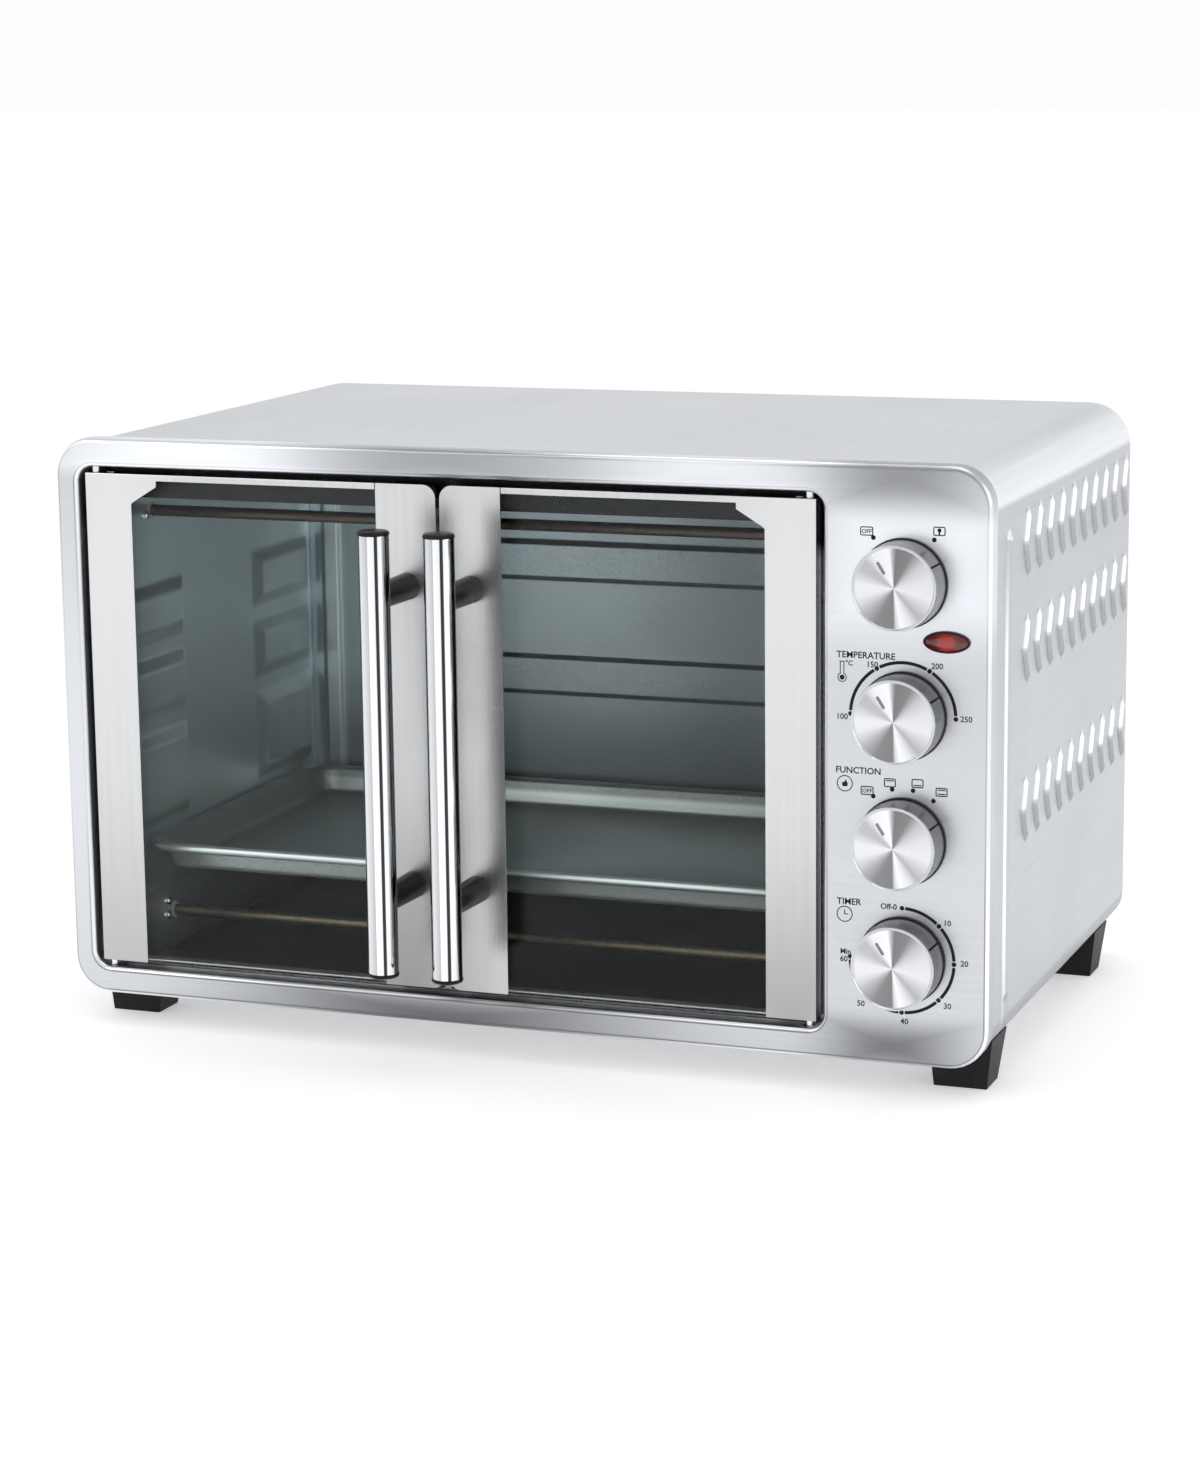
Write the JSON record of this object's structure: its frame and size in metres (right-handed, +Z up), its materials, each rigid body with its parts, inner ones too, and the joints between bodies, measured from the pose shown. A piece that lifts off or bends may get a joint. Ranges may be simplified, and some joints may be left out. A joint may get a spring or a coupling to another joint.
{
  "type": "toaster oven",
  "caption": "Countertop toaster oven with side-hinged glass doors, tube handles, a column of control knobs, a baking tray and a crumb tray.",
  "frame": {"origin": "on the table under the middle of the oven's box, at the soles of the feet", "axes": "+X to the right seen from the front, +Y to the rear, +Z up"},
  "size_m": [0.55, 0.4058, 0.345],
  "materials": {
    "front_steel": "brushed stainless, grain left to right",
    "cover_steel": "satin stainless",
    "rear_steel": "plain galvanised sheet",
    "foot_rubber": "matt black",
    "screws": "zinc plated",
    "cavity_steel": "grey-blue aluminised sheet, fine speckle",
    "floor_steel": "dark enamel",
    "element": "dark oxidised sheath",
    "ceramic": "glazed ceramic",
    "lamp_glass": "clear",
    "nylon": "natural nylon",
    "control_plastic": "moulded",
    "control_metal": "plated sheet",
    "lens_red": "translucent red",
    "tray_enamel": "dark grey enamel, satin",
    "door_glass": "clear tempered",
    "door_steel": "brushed stainless, grain up and down",
    "black_plastic": "black, slight sheen",
    "pin_steel": "bright steel",
    "handle_chrome": "bright satin chrome",
    "knob_metal": "spun satin metal with a bright rim"
  },
  "bodies": {
    "casing": {"front_panel": "front_steel", "outer_cover": "cover_steel", "rear_cover": "rear_steel", "base_plate": "rear_steel", "feet": "foot_rubber", "case_screws": "screws", "rear_spacers": "foot_rubber", "cord_gland": "foot_rubber", "cavity_left_wall": "cavity_steel", "cavity_right_wall": "cavity_steel", "cavity_top": "cavity_steel", "cavity_floor": "floor_steel", "cavity_back": "cavity_steel", "cavity_front_frame": "rear_steel", "heat_shield": "rear_steel", "top_elements": "element", "bottom_elements": "element", "element_insulators": "ceramic", "element_screws": "screws", "lamp_holder": "ceramic", "lamp_bulb": "lamp_glass", "lamp_glass": "lamp_glass", "hinge_bushes": "nylon", "control_bracket": "rear_steel", "light_switch": "control_plastic", "thermostat": "control_metal", "function_switch": "control_plastic", "timer": "control_plastic", "pilot_lens": "lens_red", "terminal_block": "ceramic", "wiring": "control_plastic"},
    "left_door": {"left_glass": "door_glass", "left_hinge_stile": "door_steel", "left_hinge_blocks": "black_plastic", "left_hinge_pins": "pin_steel", "left_handle_plate": "door_steel", "left_handle_tube": "handle_chrome", "left_handle_standoffs": "black_plastic", "left_handle_caps": "black_plastic", "left_handle_screws": "screws"},
    "right_door": {"right_glass": "door_glass", "right_hinge_stile": "door_steel", "right_hinge_blocks": "black_plastic", "right_hinge_pins": "pin_steel", "right_handle_plate": "door_steel", "right_handle_tube": "handle_chrome", "right_handle_standoffs": "black_plastic", "right_handle_caps": "black_plastic", "right_handle_screws": "screws"},
    "bake_tray": {"bake_tray": "tray_enamel"},
    "crumb_tray": {"crumb_tray": "floor_steel"},
    "light_control": {"light_knob": "knob_metal", "light_shaft": "pin_steel"},
    "temperature_control": {"temperature_knob": "knob_metal", "temperature_shaft": "pin_steel"},
    "function_control": {"function_knob": "knob_metal", "function_shaft": "pin_steel"},
    "timer_control": {"timer_knob": "knob_metal", "timer_shaft": "pin_steel"}
  },
  "joints": [
    {"name": "left_door_hinge", "type": "hinge", "parent": "casing", "child": "left_door", "pos_m": [-0.252, -0.1451, 0.182], "axis": [0, 0, -1], "range_deg": [0, 105]},
    {"name": "right_door_hinge", "type": "hinge", "parent": "casing", "child": "right_door", "pos_m": [0.174, -0.1451, 0.182], "axis": [0, 0, 1], "range_deg": [0, 105]},
    {"name": "bake_tray_slide", "type": "slide", "parent": "casing", "child": "bake_tray", "axis": [0, -1, 0], "range_m": [0, 0.015]},
    {"name": "crumb_tray_slide", "type": "slide", "parent": "casing", "child": "crumb_tray", "axis": [0, -1, 0], "range_m": [0, 0.004]},
    {"name": "light_turn", "type": "hinge", "parent": "casing", "child": "light_control", "pos_m": [0.2274, -0.1521, 0.2823], "axis": [0, 1, 0], "range_deg": [0, 70]},
    {"name": "temperature_turn", "type": "hinge", "parent": "casing", "child": "temperature_control", "pos_m": [0.2274, -0.1521, 0.211], "axis": [0, 1, 0], "range_deg": [-57, 123]},
    {"name": "function_turn", "type": "hinge", "parent": "casing", "child": "function_control", "pos_m": [0.2274, -0.1521, 0.1428], "axis": [0, 1, 0], "range_deg": [0, 68]},
    {"name": "timer_turn", "type": "hinge", "parent": "casing", "child": "timer_control", "pos_m": [0.2274, -0.1521, 0.0775], "axis": [0, 1, 0], "range_deg": [0, 304]}
  ]
}
